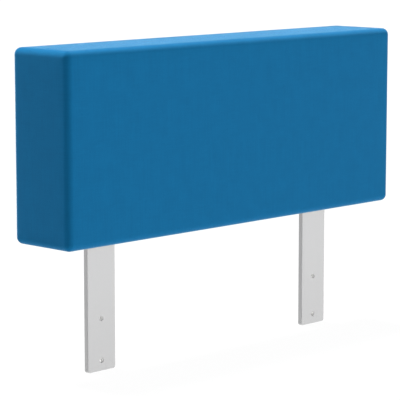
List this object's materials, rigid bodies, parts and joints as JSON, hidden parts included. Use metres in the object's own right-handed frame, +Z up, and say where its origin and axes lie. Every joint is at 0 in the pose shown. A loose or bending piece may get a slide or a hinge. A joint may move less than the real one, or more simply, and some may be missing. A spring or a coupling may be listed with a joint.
{
  "type": "desk privacy panel",
  "caption": "Fabric-covered padded screen panel on flat drilled steel straps that bolt to the edge of a desk.",
  "frame": {"origin": "midway between the feet of the straps, under the middle of the panel, at the bottom of the bounding box", "axes": "+X along the panel's width, to the right as seen from its front; +Y through its thickness, from front to back; +Z up"},
  "size_m": [0.9, 0.15, 0.61],
  "materials": {
    "panel_fabric": "medium blue fine woven upholstery fabric",
    "dust_cloth": "black non-woven cloth",
    "wadding": "white polyester wadding",
    "foam": "cream polyurethane foam",
    "hardboard": "brown hardboard",
    "pine": "sawn pine",
    "grey_paint": "light grey powder coat on flat steel bar",
    "zinc": "zinc-plated steel"
  },
  "bodies": {
    "root": {"board_back": "hardboard", "board_front": "hardboard", "centre_stile": "pine", "corner_block_bottom_left": "pine", "corner_block_bottom_right": "pine", "corner_block_top_left": "pine", "corner_block_top_right": "pine", "cover_back_panel": "panel_fabric", "cover_wrap": "panel_fabric", "dust_cover": "dust_cloth", "end_board_left": "pine", "end_board_right": "pine", "foam_back": "foam", "foam_end_left": "foam", "foam_end_right": "foam", "foam_front": "foam", "foam_top": "foam", "leg_strap_left": "grey_paint", "leg_strap_right": "grey_paint", "rail_bottom": "pine", "rail_top": "pine", "screw_bottom_centre": "zinc", "screw_bottom_end_left_back": "zinc", "screw_bottom_end_left_front": "zinc", "screw_bottom_end_right_back": "zinc", "screw_bottom_end_right_front": "zinc", "screw_bottom_post_left": "zinc", "screw_bottom_post_right": "zinc", "screw_top_centre": "zinc", "screw_top_end_left_back": "zinc", "screw_top_end_left_front": "zinc", "screw_top_end_right_back": "zinc", "screw_top_end_right_front": "zinc", "screw_top_post_left": "zinc", "screw_top_post_right": "zinc", "strap_bolt_left_1": "zinc", "strap_bolt_left_2": "zinc", "strap_bolt_left_3": "zinc", "strap_bolt_right_1": "zinc", "strap_bolt_right_2": "zinc", "strap_bolt_right_3": "zinc", "strap_post_left": "pine", "strap_post_right": "pine", "strap_washer_left_1": "zinc", "strap_washer_left_2": "zinc", "strap_washer_left_3": "zinc", "strap_washer_right_1": "zinc", "strap_washer_right_2": "zinc", "strap_washer_right_3": "zinc", "tee_nut_left_1": "zinc", "tee_nut_left_2": "zinc", "tee_nut_left_3": "zinc", "tee_nut_right_1": "zinc", "tee_nut_right_2": "zinc", "tee_nut_right_3": "zinc", "wadding_wrap": "wadding"}
  },
  "joints": []
}
